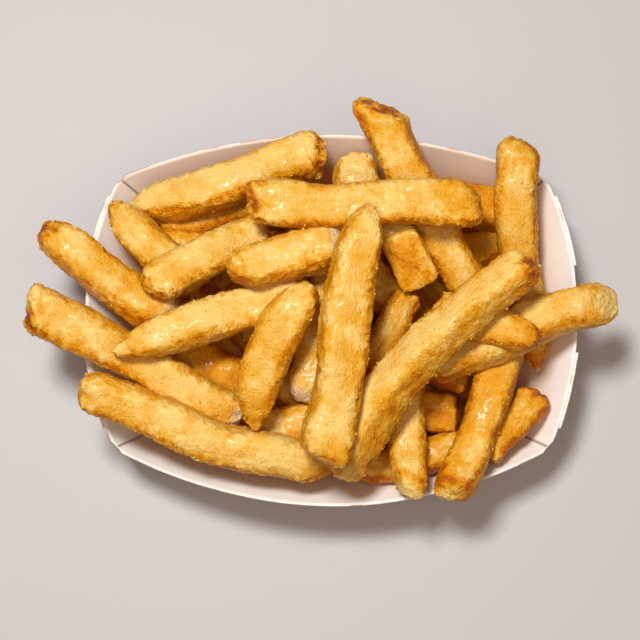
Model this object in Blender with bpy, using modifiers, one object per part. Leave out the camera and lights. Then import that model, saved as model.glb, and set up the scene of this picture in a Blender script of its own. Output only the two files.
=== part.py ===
# French fries heaped in a folded paperboard food tray.
# Metres, +Z up. The origin is the middle of the tray's underside.
# X runs along the tray, Y towards its back wall.
from collections import namedtuple
import math

import bmesh
import bpy
from mathutils import Vector

MM = 0.001

# Tray, in millimetres: corners of the floor and of the rim, on the inner face
PAPER = 0.5
FLOOR_CORNER = (57.0, 36.0)
RIM_CORNER = (79.0, 50.0)
CORNER_HEIGHT = 34.0
SPRING = 0.6           # how far a glued flap's top edge stands off the end wall
FLAP_RISE = 0.8        # how far that edge stands above the rim
FLAP_REACH = (0.16, 0.68)   # along an end wall: 0 at the corner, 1 at the wall's middle
FLAP_FOOT = 0.04       # where a flap starts, as a share of the wall's height
FLAP_FOOT_WIDTH = 0.72      # width there, as a share of its width at the rim
FLAP_FACES = (6, 4)    # along and up a flap
BURY = 0.25            # depth of a flap's inner face inside the wall's paper
ROUNDS_LONG = 16       # faces along a long wall
ROUNDS_SHORT = 10      # faces along an end wall

# Each wall: the direction it faces outwards, how far its fold and its rim bow outwards
# at the middle, and the rim's height there
Wall = namedtuple("Wall", "long outward fold_bow rim_bow middle_height")
WALLS = {
    "front": Wall(True, -1, 7.0, 21.0, 41.0),
    "right": Wall(False, 1, 3.0, 9.5, 42.0),
    "back": Wall(True, 1, 7.0, 13.4, 45.0),
    "left": Wall(False, -1, 3.0, 10.5, 42.0),
}

# Core that the fries are fused to, in millimetres
CORE_GAP = 1.2         # height of its underside
CORE_INSET = 2.4       # clearance of its side to the walls
CORE_SIDE = 13.0       # height of its steep side
CORE_TOP = 37.0
CORE_STEPS = ((0.88, 0.3), (0.68, 0.62), (0.38, 0.9))   # shrink, rise of the dome

# Fries, in millimetres: middle of the first tip and of the second, thickness, sideways bow
# (positive to the left of first to second), roll about the length in degrees, length over
# which each tip rounds off, and the thickness at each end as a share of the named one.
# They are listed from the bottom of the heap to its top.
Fry = namedtuple("Fry", "first second thick bow roll tips share")


def fry(first, second, thick, bow=0, roll=0, tips=(5, 5), share=(1.0, 1.0)):
    """One row of the heap, with the values that most fries have left out."""
    return Fry(first, second, thick, bow, roll, tips, share)


HEAP = (
    fry((-21, -23, 28), (-5, -36, 27), 15.0),
    fry((-57, -13, 31), (-26, -29, 28), 15.5),
    fry((46, -38, 27), (15, -33, 28), 15.5, tips=(2, 5)),
    fry((50, -25, 32), (19, -12, 33), 13.0, tips=(3, 5)),
    fry((8, -56, 34), (48, -50, 34), 12.5, bow=-1, tips=(8, 5)),
    fry((6, 20, 34), (26, 0, 33), 14.5),
    fry((39, 20, 28), (70, 31, 26), 14.0),
    fry((-64, 33, 30), (-16, 44, 29), 15.5, tips=(6, 5)),
    fry((-65, 24, 38), (-26, 21, 35), 13.0, tips=(6, 5)),
    fry((75, -29, 34), (54, -53, 37), 13.0),
    fry((-26, -45, 37), (24, -36, 38), 14.0),
    fry((8, 56, 42), (12, 25, 34), 15.0, tips=(6, 5)),
    fry((37, 42, 38), (73, 35, 32), 16.0),
    fry((14, 73, 57), (50, 6, 44), 16.0, roll=12, share=(1.12, 0.84)),
    fry((67, 62, 50), (76, -21, 33), 15.5, bow=-3, tips=(4, 18), share=(1.0, 0.85)),
    fry((-73, 36, 39), (-3, 56, 51), 15.0, roll=-8, tips=(10, 3), share=(1.0, 1.04)),
    fry((-81, 39, 44), (-49, 6, 49), 15.0, roll=10, tips=(14, 5), share=(0.9, 1.05)),
    fry((-105, 27, 56), (-59, -6, 46), 15.0, roll=-16),
    fry((-108, 0, 57), (-32, -37, 39), 16.0, roll=8, tips=(4, 10)),
    fry((64, -12, 42), (41, -69, 49), 15.0, bow=1, roll=10),
    fry((101, 2, 55), (34, -22, 51), 16.0, bow=-1, roll=14, tips=(9, 5)),
    fry((25, -26, 43), (28, -69, 50), 15.0, roll=6, tips=(5, 9)),
    fry((28, 6, 45), (12, -24, 46), 12.0, roll=-18, tips=(5, 9), share=(1.1, 0.9)),
    fry((0, 14, 45), (-11, -34, 43), 13.5, tips=(5, 9)),
    fry((72, -13, 63), (23, 3, 53), 14.0, bow=1, tips=(12, 5)),
    fry((29, 7, 61), (20, 33, 53), 14.0, roll=-20, tips=(1.5, 5)),
    fry((-65, 4, 61), (-23, 28, 50), 15.0, bow=1, roll=8, tips=(4, 6), share=(1.05, 0.95)),
    fry((-77, -18, 62), (-10, 8, 53), 16.0, bow=-1, roll=-8, tips=(11, 5)),
    fry((-89, -29, 54), (1, -59, 46), 16.0, bow=-3, roll=18, tips=(6, 12)),
    fry((-37, 9, 67), (3, 20, 63), 16.0, roll=-6),
    fry((-7, 5, 67), (-27, -46, 55), 15.0, bow=-5, tips=(12, 10), share=(0.95, 0.95)),
    fry((-30, 33, 69), (52, 33, 66), 15.5, roll=4, tips=(4, 6)),
    fry((69, 11, 77), (1, -60, 59), 15.5, bow=-7, roll=38, tips=(5, 6)),
    fry((11, 30, 81), (-3, -58, 71), 16.0, roll=-12, tips=(11, 5), share=(0.96, 1.08)),
)

# A fry's section: a square of half width 1 with its corners cut
CHAMFER = 0.6
SECTION = ((1, -CHAMFER), (1, CHAMFER), (CHAMFER, 1), (-CHAMFER, 1),
           (-1, CHAMFER), (-1, -CHAMFER), (-CHAMFER, -1), (CHAMFER, -1))
TIP_RINGS = ((0.0, 0.5), (0.35, 0.86), (1.0, 1.0))   # share of the rounding length, size
STRAIGHT_MIDDLE = (0.5,)
BENT_MIDDLE = (0.26, 0.38, 0.5, 0.62, 0.74)

# Colours as linear red, green and blue
PAPER_COLOUR = (0.80, 0.74, 0.71, 1.0)
FRY_COLOUR = (0.80, 0.46, 0.10, 1.0)


def clear_scene():
    """Remove what the scene holds."""
    for thing in list(bpy.data.objects):
        bpy.data.objects.remove(thing, do_unlink=True)


def new_collection(name):
    """A collection linked to the scene."""
    group = bpy.data.collections.new(name)
    bpy.context.scene.collection.children.link(group)
    return group


def material(name, colour, roughness):
    """A plain Principled material."""
    made = bpy.data.materials.new(name)
    made.use_nodes = True
    shader = made.node_tree.nodes["Principled BSDF"]
    shader.inputs["Base Color"].default_value = colour
    shader.inputs["Roughness"].default_value = roughness
    shader.inputs["Metallic"].default_value = 0.0
    made.diffuse_color = colour
    return made


def add_object(name, bm, group):
    """Turn a bmesh measured in millimetres into an object in metres."""
    bmesh.ops.scale(bm, vec=(MM, MM, MM), verts=bm.verts)
    mesh = bpy.data.meshes.new(name)
    bm.to_mesh(mesh)
    bm.free()
    made = bpy.data.objects.new(name, mesh)
    group.objects.link(made)
    return made


def bulge(along):
    """1 in the middle of a wall and 0 at its corners, for along from -1 to 1."""
    return 1.0 - along * along


def wall_point(wall, along, up):
    """Inner face of a wall: along from -1 to 1, up from 0 at the floor's fold to 1 at the rim."""
    side = 0 if wall.long else 1
    fold = (FLOOR_CORNER[side] * along, FLOOR_CORNER[1 - side] + wall.fold_bow * bulge(along))
    rim = (RIM_CORNER[side] * along, RIM_CORNER[1 - side] + wall.rim_bow * bulge(along))
    height = CORNER_HEIGHT + (wall.middle_height - CORNER_HEIGHT) * bulge(along)
    run = fold[0] + (rim[0] - fold[0]) * up
    out = (fold[1] + (rim[1] - fold[1]) * up) * wall.outward
    z = PAPER + (height - PAPER) * up
    return Vector((run, out, z)) if wall.long else Vector((out, run, z))


def wall_normal(wall, along, up):
    """Direction out of the tray, square to a wall."""
    step = 0.01
    across = wall_point(wall, along + step, up) - wall_point(wall, along - step, up)
    rise = wall_point(wall, along, up + step) - wall_point(wall, along, up - step)
    normal = across.cross(rise).normalized()
    return normal if normal.z < 0 else -normal


def around(up):
    """Points round the tray at one share of its height, anticlockwise from the front left."""
    points = []
    for name, wall in WALLS.items():
        count = ROUNDS_LONG if wall.long else ROUNDS_SHORT
        way = 1 if name in ("front", "right") else -1
        for k in range(count):
            points.append(wall_point(wall, way * (2.0 * k / count - 1.0), up))
    return points


def bridge(bm, lower, upper):
    """Quads between two rings of equal length, facing outwards for anticlockwise rings."""
    count = len(lower)
    for k in range(count):
        n = (k + 1) % count
        bm.faces.new((lower[k], lower[n], upper[n], upper[k]))


def grid_solid(bm, inner, outer):
    """Closed plate between two equal grids of points."""
    rows, columns = len(inner), len(inner[0])
    low = [[bm.verts.new(p) for p in row] for row in inner]
    high = [[bm.verts.new(p) for p in row] for row in outer]
    for i in range(rows - 1):
        for j in range(columns - 1):
            bm.faces.new((low[i][j], low[i + 1][j], low[i + 1][j + 1], low[i][j + 1]))
            bm.faces.new((high[i][j], high[i][j + 1], high[i + 1][j + 1], high[i + 1][j]))
        for j in (0, columns - 1):
            bm.faces.new((low[i][j], high[i][j], high[i + 1][j], low[i + 1][j]))
    for j in range(columns - 1):
        for i in (0, rows - 1):
            bm.faces.new((low[i][j], high[i][j], high[i][j + 1], low[i][j + 1]))
    bmesh.ops.recalc_face_normals(bm, faces=bm.faces)


def tray_shell(group, paper):
    """The folded blank: floor and four leaning walls, an open surface given its thickness."""
    bm = bmesh.new()
    floor = [bm.verts.new(p) for p in around(0.0)]
    rim = [bm.verts.new(p) for p in around(1.0)]
    bm.faces.new(floor)
    bridge(bm, rim, floor)
    tray = add_object("tray", bm, group)
    thickness = tray.modifiers.new("paper", "SOLIDIFY")
    thickness.solidify_mode = "NON_MANIFOLD"
    thickness.nonmanifold_thickness_mode = "CONSTRAINTS"
    thickness.thickness = PAPER * MM
    thickness.offset = -1.0
    tray.data.materials.append(paper)
    return tray


def glued_flap(wall, end, cutters):
    """End of a long wall, folded round the outside of an end wall near one corner."""
    steps, rows = FLAP_FACES
    near, far = FLAP_REACH
    inner, outer = [], []
    for i in range(rows + 1):
        up = FLAP_FOOT + (1.0 - FLAP_FOOT) * i / rows
        width = (far - near) * (FLAP_FOOT_WIDTH + (1.0 - FLAP_FOOT_WIDTH) * up)
        low_row, high_row = [], []
        for j in range(steps + 1):
            along = end * (1.0 - near - width * j / steps)
            normal = wall_normal(wall, along, up)
            point = wall_point(wall, along, up)
            point.z += FLAP_RISE * up ** 3
            low_row.append(point + normal * BURY)
            high_row.append(point + normal * (2.0 * PAPER + SPRING * up ** 3))
        inner.append(low_row)
        outer.append(high_row)
    bm = bmesh.new()
    grid_solid(bm, inner, outer)
    return add_object("flap", bm, cutters)


def core_solid(group, food):
    """Plain core inside the heap: it fills the tray's foot and rises in a low dome."""
    rings = []
    foot = (CORE_GAP - PAPER) / CORNER_HEIGHT
    side = CORE_SIDE / CORNER_HEIGHT
    for up in (foot, side):
        ring = around(up)
        inset = [1.0 - CORE_INSET / math.hypot(p.x, p.y) for p in ring]
        height = CORE_GAP if up == foot else CORE_SIDE
        rings.append([Vector((p.x * k, p.y * k, height)) for p, k in zip(ring, inset)])
    for shrink, rise in CORE_STEPS:
        height = CORE_SIDE + (CORE_TOP - CORE_SIDE) * rise
        rings.append([Vector((p.x * shrink, p.y * shrink, height)) for p in rings[1]])
    bm = bmesh.new()
    loops = [[bm.verts.new(p) for p in ring] for ring in rings]
    bm.faces.new(loops[0][::-1])
    for lower, upper in zip(loops, loops[1:]):
        bridge(bm, lower, upper)
    tip = bm.verts.new((0.0, 0.0, CORE_TOP))
    last = loops[-1]
    for k, vert in enumerate(last):
        bm.faces.new((vert, last[(k + 1) % len(last)], tip))
    core = add_object("fries", bm, group)
    core.data.materials.append(food)
    return core


def fry_frame(row, share):
    """Point on a fry's axis and its two section directions, for share 0 to 1 of its length."""
    first, second = Vector(row.first), Vector(row.second)
    line = second - first
    left = Vector((-line.y, line.x, 0.0)).normalized()
    point = first + line * share + left * (4.0 * row.bow * share * (1.0 - share))
    tangent = (line + left * (4.0 * row.bow * (1.0 - 2.0 * share))).normalized()
    side = Vector((-tangent.y, tangent.x, 0.0)).normalized()
    top = tangent.cross(side)
    turn = math.radians(row.roll)
    across = side * math.cos(turn) + top * math.sin(turn)
    return point, across, tangent.cross(across)


def fry_stations(row):
    """Places along a fry and the section's size at each."""
    length = (Vector(row.second) - Vector(row.first)).length
    first = [(row.tips[0] * part / length, size) for part, size in TIP_RINGS]
    second = [(1.0 - row.tips[1] * part / length, size) for part, size in TIP_RINGS]
    middle = BENT_MIDDLE if abs(row.bow) > 2 else STRAIGHT_MIDDLE
    return first + [(share, 1.0) for share in middle] + second[::-1]


def fry_solid(row, index, group):
    """One fry with eight sides, rounded off at both tips."""
    bm = bmesh.new()
    loops = []
    for share, size in fry_stations(row):
        point, across, top = fry_frame(row, share)
        swell = row.share[0] + (row.share[1] - row.share[0]) * share
        half = 0.5 * row.thick * swell * size
        ring = [point + across * (half * a) + top * (half * b) for a, b in SECTION]
        loops.append([bm.verts.new(p) for p in ring])
    for lower, upper in zip(loops, loops[1:]):
        bridge(bm, lower, upper)
    bm.faces.new(loops[0][::-1])
    bm.faces.new(loops[-1])
    bmesh.ops.recalc_face_normals(bm, faces=bm.faces)
    return add_object(f"fry_{index:02d}", bm, group)


def fuse(target, pieces, solver):
    """One Boolean union of an object and a collection, applied, and the collection emptied."""
    union = target.modifiers.new("fuse", "BOOLEAN")
    union.operation = "UNION"
    union.operand_type = "COLLECTION"
    union.collection = pieces
    union.solver = solver
    depsgraph = bpy.context.evaluated_depsgraph_get()
    mesh = bpy.data.meshes.new_from_object(target.evaluated_get(depsgraph))
    target.modifiers.clear()
    target.data = mesh
    for piece in list(pieces.objects):
        bpy.data.objects.remove(piece, do_unlink=True)
    bpy.data.collections.remove(pieces)


def shells(bm):
    """Connected sets of faces."""
    left = set(bm.faces)
    found = []
    while left:
        stack = [left.pop()]
        shell = list(stack)
        while stack:
            for edge in stack.pop().edges:
                for face in edge.link_faces:
                    if face in left:
                        left.remove(face)
                        stack.append(face)
                        shell.append(face)
        found.append(shell)
    return found


def keep_outer_shell(thing):
    """Fill what fusing sealed and drop loose scraps: only the largest closed skin stays."""
    bm = bmesh.new()
    bm.from_mesh(thing.data)
    found = shells(bm)
    largest = max(found, key=len)
    others = [face for shell in found if shell is not largest for face in shell]
    bmesh.ops.delete(bm, geom=others, context="FACES")
    bm.to_mesh(thing.data)
    bm.free()


def make_tray(group, paper):
    """The tray with its four glued flaps, one solid."""
    tray = tray_shell(group, paper)
    flaps = new_collection("flaps")
    for name in ("left", "right"):
        for end in (-1, 1):
            glued_flap(WALLS[name], end, flaps)
    fuse(tray, flaps, "EXACT")
    return tray


def make_fries(group, food):
    """The heap: a core with every fry that shows fused to it, one solid."""
    core = core_solid(group, food)
    pieces = new_collection("fry_pieces")
    for index, row in enumerate(HEAP):
        fry_solid(row, index, pieces)
    fuse(core, pieces, "EXACT")
    keep_outer_shell(core)
    return core


def main():
    clear_scene()
    group = new_collection("fries_in_a_paper_tray")
    paper = material("tray_paper", PAPER_COLOUR, 0.55)
    food = material("fried_potato", FRY_COLOUR, 0.45)
    make_tray(group, paper)
    make_fries(group, food)


main()
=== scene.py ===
"""French fries heaped in a folded paper tray, on a pale floor in soft studio light."""
from collections import namedtuple
import math
import random

import bmesh
import bpy
from bpy.props import FloatProperty, FloatVectorProperty, IntProperty, PointerProperty
from bpy.types import Operator, Panel, PropertyGroup
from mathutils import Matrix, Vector
import numpy as np


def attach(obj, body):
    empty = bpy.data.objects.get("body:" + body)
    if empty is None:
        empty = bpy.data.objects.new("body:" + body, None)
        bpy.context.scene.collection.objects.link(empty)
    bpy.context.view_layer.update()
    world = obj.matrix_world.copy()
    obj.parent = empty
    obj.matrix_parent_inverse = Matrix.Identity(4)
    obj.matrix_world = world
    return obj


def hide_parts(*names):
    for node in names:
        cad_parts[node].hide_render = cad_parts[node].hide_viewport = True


bl_info = {
    "name": "Fries in a Paper Tray",
    "version": (1, 0, 0),
    "blender": (4, 5, 0),
    "location": "3D View > Sidebar > Fries",
    "description": "Battered fries heaped in a folded paper tray, with its studio",
    "category": "Add Mesh",
}

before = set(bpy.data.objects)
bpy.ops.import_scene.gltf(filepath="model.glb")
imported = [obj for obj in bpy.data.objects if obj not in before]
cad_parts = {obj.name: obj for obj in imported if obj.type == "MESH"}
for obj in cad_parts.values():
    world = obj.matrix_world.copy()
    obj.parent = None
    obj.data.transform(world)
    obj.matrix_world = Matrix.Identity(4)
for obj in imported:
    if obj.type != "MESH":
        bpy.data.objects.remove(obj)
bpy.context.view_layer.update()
MM = 0.001

# Tray walls, in millimetres: turn about the upright axis in degrees, how far the fold and the
# rim bow outwards at the wall's middle, and the rim's height there
Wall = namedtuple("Wall", "turn long fold_bow rim_bow middle_height")
WALLS = (
    Wall(0, True, 7.0, 21.0, 41.0),
    Wall(90, False, 3.0, 9.5, 42.0),
    Wall(180, True, 7.0, 13.4, 45.0),
    Wall(270, False, 3.0, 10.5, 42.0),
)

FLAP_SPANS = ((-0.86, -0.32), (0.32, 0.86))    # shares of an end wall's half that flaps cover
WALL_SLANT = 1.25                              # length up a wall to its height

# Looks of a fry's tip: how brown, how knobby, how much pale potato shows, and its end face from
# -1 for orange to 1 for pale with an amber outline
Tip = namedtuple("Tip", "brown knob pale face")
TIPS = {
    "crisp": Tip(0.0, 0.0, 0.0, -1.0),
    "plain": Tip(0.25, 0.6, 0.0, 0.0),
    "cut": Tip(0.15, 0.4, 0.0, 1.0),
    "toasted": Tip(0.6, 1.0, 0.0, 0.0),
    "burnt": Tip(1.0, 1.7, 0.0, 0.0),
    "torn": Tip(0.1, 1.5, 1.0, 0.0),
}

# Fries, in millimetres: middle of each tip, thickness, sideways bow, roll in degrees, length
# over which each tip rounds off, share of the thickness at each tip, sideways slope of each
# tip's cut, how far the cut looks up, squareness of the section, looks of each tip, and tone
# from -1 for orange to 1 for cream. Low tones on fries deep in the heap are painted shade.
Fry = namedtuple("Fry", "first second thick bow roll tips share cuts lean square looks tone",
                 defaults=(0, 0, (5, 5), (1.0, 1.0), (0.15, -0.15), (0.0, 0.0), 2.9,
                           "plain plain", 0.0))

# Bottom layer to top layer, each from its bottom fry to its top one
HEAP = {
    # Low tones here paint shade on the fries that lie deep in the heap
    "fries_deep": (
        Fry((-21, -23, 28), (-5, -36, 27), 15.0, tone=-1.5),
        Fry((-57, -13, 31), (-26, -29, 28), 15.5, tone=-1.5),
        Fry((46, -38, 27), (15, -33, 28), 15.5, tips=(2, 5), square=4.5, tone=-1.6),
        Fry((50, -25, 32), (19, -12, 33), 13.0, tips=(3, 5), square=4.0, tone=-1.6),
        Fry((8, -56, 34), (48, -50, 34), 12.5, bow=-1, tips=(8, 5), looks="toasted plain",
            tone=-1.0),
        Fry((6, 20, 34), (26, 0, 33), 14.5, looks="plain burnt", tone=-0.8),
        Fry((39, 20, 28), (70, 31, 26), 14.0, tone=-1.0),
        Fry((-64, 33, 30), (-16, 44, 29), 15.5, tips=(6, 5), tone=-0.8),
        Fry((-65, 24, 38), (-26, 21, 35), 13.0, tips=(6, 5), tone=-0.8),
        Fry((75, -29, 34), (54, -53, 37), 13.0, looks="toasted toasted", tone=-0.9),
        Fry((-26, -45, 37), (24, -36, 38), 14.0, tone=-0.7),
        Fry((8, 57.5, 42), (12, 25, 34), 15.0, tips=(9, 5), looks="toasted plain", tone=0.6),
        Fry((37, 42, 38), (73, 35, 32), 16.0, tone=-1.1),
    ),
    "fries_back": (
        Fry((14, 73, 57), (50, 6, 44), 16.0, roll=12, tips=(11, 5), share=(1.08, 0.84),
            cuts=(-1.0, 0.1), looks="burnt plain"),
        Fry((67, 62, 50), (76, -21, 33), 15.5, bow=-3, tips=(9, 18), share=(1.0, 0.85),
            cuts=(-0.25, 0.1), tone=0.2),
        Fry((-73, 36, 39), (-3, 56, 51), 15.0, roll=-8, tips=(18, 6), share=(1.0, 1.06),
            square=2.8, looks="plain burnt", tone=0.5),
        Fry((-81, 39, 44), (-49, 6, 49), 15.0, roll=10, tips=(13, 5), share=(0.7, 1.1),
            looks="toasted plain", tone=-0.2),
        Fry((-105, 27, 56), (-59, -6, 46), 15.0, roll=-16, tips=(11, 5), share=(0.82, 1.07),
            square=2.8, looks="burnt torn"),
        Fry((-108, 0, 57), (-33, -40, 39), 16.0, roll=8, tips=(4, 10), share=(1.0, 0.88),
            cuts=(0.3, 0.0), looks="burnt torn", tone=0.4),
    ),
    "fries_front": (
        Fry((64, -12, 42), (41, -67.5, 49), 15.0, bow=1, roll=10, share=(1.0, 0.87),
            cuts=(0.0, 0.3), lean=(0.0, 0.5), looks="plain cut", tone=-0.3),
        Fry((98, 1, 55), (34, -22, 51), 16.0, bow=-1, roll=14, tips=(6, 5), share=(0.86, 1.0),
            cuts=(-0.3, 0.0), lean=(0.8, 0.0), looks="cut plain", tone=0.5),
        Fry((25, -26, 43), (28, -67, 50), 15.0, roll=6, tips=(5, 9), share=(1.0, 0.76),
            cuts=(0.0, -0.5), lean=(0.0, 0.5), looks="plain cut", tone=0.6),
        Fry((28, 6, 45), (12, -24, 46), 12.0, roll=-18, tips=(5, 9), share=(1.1, 0.9)),
        Fry((0, 14, 45), (-11, -34, 43), 13.5, tips=(5, 9), looks="plain torn"),
        Fry((72, -13, 63), (36, -2, 55), 14.0, bow=1, tips=(14, 5), tone=-0.1),
        Fry((27, 13, 60), (20, 33, 53), 14.0, roll=-12, tips=(1.0, 5), cuts=(0.0, 0.0),
            lean=(1.0, 0.0), square=7.0, looks="crisp plain", tone=0.6),
        Fry((-65, 4, 61), (-23, 28, 50), 15.0, bow=1, roll=8, tips=(7, 6), share=(1.0, 0.95),
            looks="toasted plain", tone=0.8),
        Fry((-77, -18, 62), (-10, 8, 53), 16.0, bow=-1, roll=-8, tips=(30, 5), share=(0.9, 1.0),
            looks="toasted plain", tone=0.8),
    ),
    "fries_top": (
        Fry((-89, -29, 54), (1, -59, 46), 16.0, bow=-3, roll=18, tips=(9, 18), share=(0.85, 1.04),
            looks="toasted plain", tone=0.5),
        Fry((-37, 9, 67), (3, 20, 63), 16.0, roll=-6, tips=(10, 4), share=(0.94, 1.0),
            looks="plain torn", tone=0.1),
        Fry((-7, 5, 67), (-27, -46, 55), 16.0, bow=-6, tips=(14, 26), tone=0.4),
        Fry((-30, 33, 69), (52, 33, 66), 15.5, roll=4, tips=(4, 9), cuts=(0.1, 0.35), square=4.0,
            looks="burnt plain", tone=0.1),
        Fry((69, 11, 77), (1, -60, 59), 15.5, bow=-7, roll=38, tips=(9, 6), share=(0.8, 1.04),
            cuts=(0.2, 0.0), square=4.0, looks="burnt plain", tone=0.4),
        Fry((11, 30, 81), (-3, -58, 71), 16.0, roll=-12, tips=(18, 5), share=(0.97, 1.08),
            square=4.0, tone=0.3),
    ),
}

# Core below the fries, in mm: share of the tray's plan and height of each of its rings, height
# of its top and foot, distance from the walls, and its number of sides
CORE_RINGS = ((1.0, 9.0), (0.88, 15.0), (0.68, 22.0), (0.38, 28.0))
CORE_TOP = 30.0
CORE_FOOT = 1.2
CORE_INSET = 2.6
CORE_ROUNDS = 96

# Fries half sunk in the core: number, tries, and, in mm, least distance between their middles,
# depth of their tips' middles below its top, plan, half length and thickness
BED_FRIES = 34
BED_TRIES = 6000
BED_GAP = 11.0
BED_SINK = 1.5
BED_PLAN = ((-62, 62), (-40, 42))
BED_HALF = (17, 30)
BED_THICK = (12.5, 14.5)

CLEARANCE = 0.35       # least distance of a fry's skin from the tray, in mm
PRESS_LIMIT = 12.0     # how far a skin is pressed in at most, in mm
POINTED = 16.0         # tips that round off over at least this length, in mm, are pointed
CUT_REACH = 9.0        # how far from a tip its cut bends the rings, in mm
LOOK_REACH = {"brown": 5.0, "knob": 7.0, "pale": 5.0}      # the same for the looks
LIT_WAY = (-0.14, 0.24, 0.96)                  # faces turned this way get no painted shade; faces turned away are painted amber
HEAP_MIDDLE = Vector((-0.0046, -0.0042, 0.0420))
LIGHTS_AIM = Vector((0.0, 0.0, 0.03))


def colour_property(name, description, default):
    """A colour setting."""
    return FloatVectorProperty(name=name, description=description, default=default, size=4,
                               min=0.0, max=1.0, subtype="COLOR")


def length_property(name, description, default):
    """A length setting, in metres."""
    return FloatProperty(name=name, description=description, default=default, min=0.0,
                         unit="LENGTH", precision=5)


class TraySettings(PropertyGroup):
    """Sizes and colours of the paper tray."""
    paper: length_property("Paper", "Thickness of the paperboard", 0.0005)
    floor_length: length_property("Floor Length", "Length of the floor at its corners", 0.114)
    floor_width: length_property("Floor Width", "Width of the floor at its corners", 0.072)
    rim_length: length_property("Rim Length", "Length of the rim at its corners", 0.158)
    rim_width: length_property("Rim Width", "Width of the rim at its corners", 0.100)
    corner_height: length_property("Corner Height", "Height of the rim's corners", 0.034)
    flap_rise: length_property("Flap Rise", "How far a glued flap stands above the rim", 0.0008)
    flap_spring: length_property("Flap Spring", "How far its top edge stands off", 0.0006)
    check: length_property("Check", "Side of one printed square", 0.0065)
    inside: colour_property("Inside", "Uncoated inner face", (0.92, 0.89, 0.87, 1.0))
    # Orange of the painted shade low on the walls and on the back wall, and of soaked-in oil
    grease: colour_property("Grease", "Inner face where oil has soaked in", (0.93, 0.60, 0.32, 1.0))
    printed: colour_property("Printed", "Squares on the outer face", (0.55, 0.03, 0.035, 1.0))
    unprinted: colour_property("Unprinted", "Outer face between them", (0.86, 0.83, 0.81, 1.0))


class FrySettings(PropertyGroup):
    """Relief and colours of the battered fries."""
    spacing: length_property("Ring Spacing", "Distance between the rings of a fry", 0.00068)
    sides: IntProperty(name="Sides", description="Sides of a fry's section", default=80, min=16)
    warp: length_property("Warp", "How far a fry strays from its straight form", 0.0016)
    lumps: length_property("Lumps", "Height of the batter's lumps", 0.0006)
    blisters: length_property("Blisters", "Height of the batter's blisters", 0.00028)
    streaks: length_property("Streaks", "Height of the ridges along a fry", 0.00012)
    crumbs: IntProperty(name="Crumbs", description="Loose crumbs of batter, about", default=1700,
                        min=0)
    seed: IntProperty(name="Seed", description="Draws another relief", default=4, min=0)
    # Colours of the crust; gold and amber also serve as painted shade on sides turned from the
    # light, in hollows, on deep fries and on the core
    cream: colour_property("Cream", "Thin pale crust", (0.89, 0.62, 0.19, 1.0))
    honey: colour_property("Honey", "Crust on the flats", (0.80, 0.43, 0.042, 1.0))
    gold: colour_property("Gold", "Crust on the sides", (0.74, 0.31, 0.004, 1.0))
    amber: colour_property("Amber", "Thick crust in hollows", (0.53, 0.13, 0.001, 1.0))
    brown: colour_property("Brown", "Toasted tips and pits", (0.22, 0.055, 0.007, 1.0))
    pale: colour_property("Pale", "Torn potato", (0.80, 0.64, 0.40, 1.0))


class StudioSettings(PropertyGroup):
    """Floor, lights and camera."""
    ground: colour_property("Floor", "Colour of the floor", (0.495, 0.505, 0.53, 1.0))
    key_power: FloatProperty(name="Key Light", description="Power of the main light",
                             default=9.8, min=0.0, unit="POWER")
    fill_power: FloatProperty(name="Fill Light", description="Power of the wide light above",
                              default=3.3, min=0.0, unit="POWER")
    ambient: FloatProperty(name="Ambient", description="Strength of the light all round",
                           default=0.15, min=0.0)
    tilt: FloatProperty(name="Tilt", description="Lean of the camera from straight down",
                        default=math.radians(8.0), subtype="ANGLE")
    distance: length_property("Distance", "From the camera to the fries", 0.650)
    focal_length: FloatProperty(name="Focal Length", description="Of the camera's lens",
                                default=100.97, min=1.0, unit="CAMERA")


class Field:
    """A socket of a node tree, so that sums on it can be written as Python."""

    def __init__(self, tree, socket):
        self.tree = tree
        self.socket = socket

    def math(self, operation, *others):
        """One Math node with this socket first."""
        values = (self,) + others
        return self.tree.add("ShaderNodeMath", {"operation": operation}, dict(enumerate(values)))

    def __add__(self, other):
        return self.math("ADD", other)

    def __sub__(self, other):
        return self.math("SUBTRACT", other)

    def __rsub__(self, other):
        return self.math("MULTIPLY", -1.0).math("ADD", other)

    def __mul__(self, other):
        return self.math("MULTIPLY", other)

    def __truediv__(self, other):
        return self.math("DIVIDE", other)

    def __rtruediv__(self, other):
        return self.math("POWER", -1.0).math("MULTIPLY", other)

    def __pow__(self, other):
        return self.math("POWER", other)

    __radd__ = __add__
    __rmul__ = __mul__


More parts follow.
